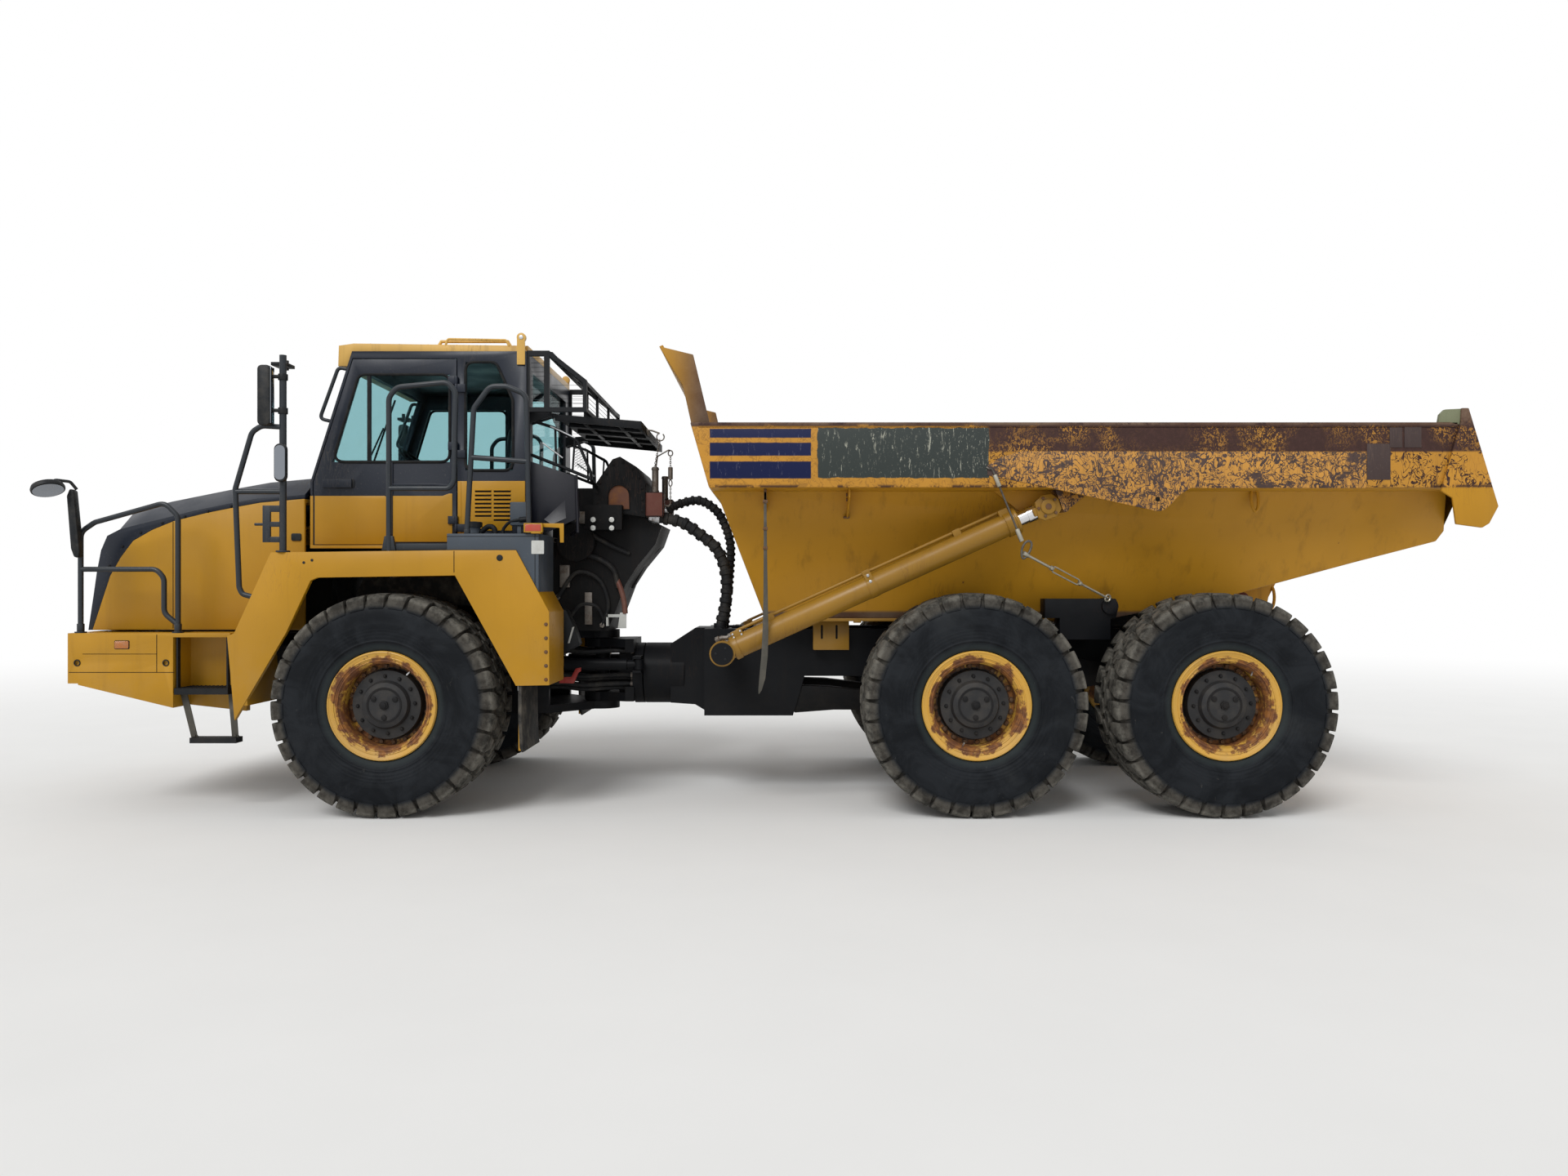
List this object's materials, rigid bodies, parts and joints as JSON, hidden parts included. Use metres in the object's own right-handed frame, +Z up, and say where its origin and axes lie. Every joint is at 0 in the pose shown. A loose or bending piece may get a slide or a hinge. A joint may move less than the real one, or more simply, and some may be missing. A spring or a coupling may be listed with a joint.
{
  "type": "articulated dump truck",
  "caption": "Articulated six-wheel dump truck with a glazed cab, tilting hood, steering hitch and a tipping open load bed.",
  "frame": {"origin": "middle of the length and width on the ground, z = 0 under the tyres", "axes": "+X towards the tail, -X the way the truck faces, -Y its left side, +Z up"},
  "size_m": [10.4098, 2.9, 3.57],
  "materials": {
    "bed_paint": "worn and rusty",
    "black_paint": "satin",
    "cab_trim": "dark cloth and plastic",
    "dark_paint": "matt, dusty",
    "grey_paint": "satin",
    "lamp_lens": "ribbed lens",
    "rod_steel": "polished",
    "tyre_rubber": "dusty",
    "window_glass": "tinted",
    "yellow_paint": "satin, sun-faded"
  },
  "bodies": {
    "tractor": {"front_frame": "dark_paint", "front_axle": "dark_paint", "bumper": "black_paint", "ladder": "black_paint", "fender_left": "yellow_paint", "fender_right": "yellow_paint", "deck_tank": "grey_paint", "battery_box": "grey_paint", "cab_shell": "black_paint", "cab_roof": "yellow_paint", "cab_glass": "window_glass", "cab_interior": "cab_trim", "handrails": "dark_paint", "mirrors": "black_paint", "window_guard": "black_paint", "engine": "dark_paint", "driveline": "dark_paint", "muffler": "black_paint", "lamps": "lamp_lens", "cab_panels": "yellow_paint"},
    "hood": {"hood": "yellow_paint", "hood_top": "black_paint", "grille": "black_paint"},
    "cab_door": {"cab_door": "black_paint", "door_glass": "window_glass"},
    "rear_cover": {"rear_cover": "black_paint"},
    "hitch": {"hitch": "black_paint"},
    "rear_frame": {"rear_frame": "dark_paint", "hoist_tube": "dark_paint", "middle_axle": "dark_paint", "rear_axle": "dark_paint", "bogie": "dark_paint", "tail_lamps": "lamp_lens", "frame_guards": "dark_paint"},
    "bed": {"bed_tub": "bed_paint", "bed_ribs": "bed_paint", "spill_guard": "bed_paint", "tail_plates": "bed_paint"},
    "wheel_front_left": {"tyre_front_left": "tyre_rubber", "rim_front_left": "yellow_paint"},
    "wheel_front_right": {"tyre_front_right": "tyre_rubber", "rim_front_right": "yellow_paint"},
    "wheel_middle_left": {"tyre_middle_left": "tyre_rubber", "rim_middle_left": "yellow_paint"},
    "wheel_middle_right": {"tyre_middle_right": "tyre_rubber", "rim_middle_right": "yellow_paint"},
    "wheel_rear_left": {"tyre_rear_left": "tyre_rubber", "rim_rear_left": "yellow_paint"},
    "wheel_rear_right": {"tyre_rear_right": "tyre_rubber", "rim_rear_right": "yellow_paint"},
    "hoist_barrel_left": {"hoist_barrel_left": "black_paint"},
    "hoist_rod_left": {"hoist_rod_left": "rod_steel"},
    "hoist_barrel_right": {"hoist_barrel_right": "black_paint"},
    "hoist_rod_right": {"hoist_rod_right": "rod_steel"},
    "steer_barrel_left": {"steer_barrel_left": "black_paint"},
    "steer_rod_left": {"steer_rod_left": "rod_steel"},
    "steer_barrel_right": {"steer_barrel_right": "black_paint"},
    "steer_rod_right": {"steer_rod_right": "rod_steel"}
  },
  "joints": [
    {"name": "wheel_front_left_spin", "type": "hinge", "parent": "tractor", "child": "wheel_front_left", "pos_m": [-2.68, -1.15, 0.8], "axis": [0, 1, 0], "continuous": true},
    {"name": "wheel_front_right_spin", "type": "hinge", "parent": "tractor", "child": "wheel_front_right", "pos_m": [-2.68, 1.15, 0.8], "axis": [0, 1, 0], "continuous": true},
    {"name": "wheel_middle_left_spin", "type": "hinge", "parent": "rear_frame", "child": "wheel_middle_left", "pos_m": [1.53, -1.15, 0.8], "axis": [0, 1, 0], "continuous": true},
    {"name": "wheel_middle_right_spin", "type": "hinge", "parent": "rear_frame", "child": "wheel_middle_right", "pos_m": [1.53, 1.15, 0.8], "axis": [0, 1, 0], "continuous": true},
    {"name": "wheel_rear_left_spin", "type": "hinge", "parent": "rear_frame", "child": "wheel_rear_left", "pos_m": [3.3, -1.15, 0.8], "axis": [0, 1, 0], "continuous": true},
    {"name": "wheel_rear_right_spin", "type": "hinge", "parent": "rear_frame", "child": "wheel_rear_right", "pos_m": [3.3, 1.15, 0.8], "axis": [0, 1, 0], "continuous": true},
    {"name": "hood_tilt", "type": "hinge", "parent": "tractor", "child": "hood", "pos_m": [-5.105, 0, 1.34], "axis": [0, -1, 0], "range_deg": [0, 65]},
    {"name": "cab_door_swing", "type": "hinge", "parent": "tractor", "child": "cab_door", "pos_m": [-2.318, -0.868, 2.65], "axis": [0, 0, 1], "range_deg": [0, 48]},
    {"name": "rear_cover_tilt", "type": "hinge", "parent": "tractor", "child": "rear_cover", "pos_m": [-1.64, 0, 2.971], "axis": [0, 1, 0], "range_deg": [0, 18]},
    {"name": "steering", "type": "hinge", "parent": "tractor", "child": "hitch", "pos_m": [-1.35, 0, 0.93], "axis": [0, 0, 1], "range_deg": [-45, 45]},
    {"name": "frame_oscillation", "type": "hinge", "parent": "hitch", "child": "rear_frame", "pos_m": [-0.85, 0, 0.93], "axis": [1, 0, 0], "range_deg": [-12, 12]},
    {"name": "bed_tip", "type": "hinge", "parent": "rear_frame", "child": "bed", "pos_m": [3.9, 0, 1.43], "axis": [0, 1, 0], "range_deg": [0, 70]},
    {"name": "hoist_barrel_left_swing", "type": "hinge", "parent": "rear_frame", "child": "hoist_barrel_left", "pos_m": [-0.278, -1.22, 1.163], "axis": [0, 1, 0], "range_deg": [-4.03, 0]},
    {"name": "hoist_rod_left_slide", "type": "slide", "parent": "hoist_barrel_left", "child": "hoist_rod_left", "axis": [0.9114, 0, 0.4116], "range_m": [0, 2.2883]},
    {"name": "hoist_barrel_right_swing", "type": "hinge", "parent": "rear_frame", "child": "hoist_barrel_right", "pos_m": [-0.278, 1.22, 1.163], "axis": [0, 1, 0], "range_deg": [-4.03, 0]},
    {"name": "hoist_rod_right_slide", "type": "slide", "parent": "hoist_barrel_right", "child": "hoist_rod_right", "axis": [0.9114, 0, 0.4116], "range_m": [0, 2.2883]},
    {"name": "steer_barrel_left_swing", "type": "hinge", "parent": "hitch", "child": "steer_barrel_left", "pos_m": [-1.01, -0.33, 1.02], "axis": [0, 0, 1], "range_deg": [-30.43, 30.43]},
    {"name": "steer_rod_left_slide", "type": "slide", "parent": "steer_barrel_left", "child": "steer_rod_left", "axis": [-1, 0, 0], "range_m": [-0.2516, 0.2516]},
    {"name": "steer_barrel_right_swing", "type": "hinge", "parent": "hitch", "child": "steer_barrel_right", "pos_m": [-1.01, 0.33, 1.02], "axis": [0, 0, 1], "range_deg": [-30.43, 30.43]},
    {"name": "steer_rod_right_slide", "type": "slide", "parent": "steer_barrel_right", "child": "steer_rod_right", "axis": [-1, 0, 0], "range_m": [-0.2516, 0.2516]}
  ],
  "couplings": [
    {"joint": "hoist_barrel_left_swing", "follows": "bed_tip", "ratio": -0.05049},
    {"joint": "hoist_rod_left_slide", "follows": "bed_tip", "m_per_rad": 1.8714},
    {"joint": "hoist_barrel_right_swing", "follows": "bed_tip", "ratio": -0.05049},
    {"joint": "hoist_rod_right_slide", "follows": "bed_tip", "m_per_rad": 1.8714},
    {"joint": "steer_barrel_left_swing", "follows": "steering", "ratio": -0.665},
    {"joint": "steer_rod_left_slide", "follows": "steering", "m_per_rad": 0.31775},
    {"joint": "steer_barrel_right_swing", "follows": "steering", "ratio": -0.665},
    {"joint": "steer_rod_right_slide", "follows": "steering", "m_per_rad": -0.31775}
  ]
}
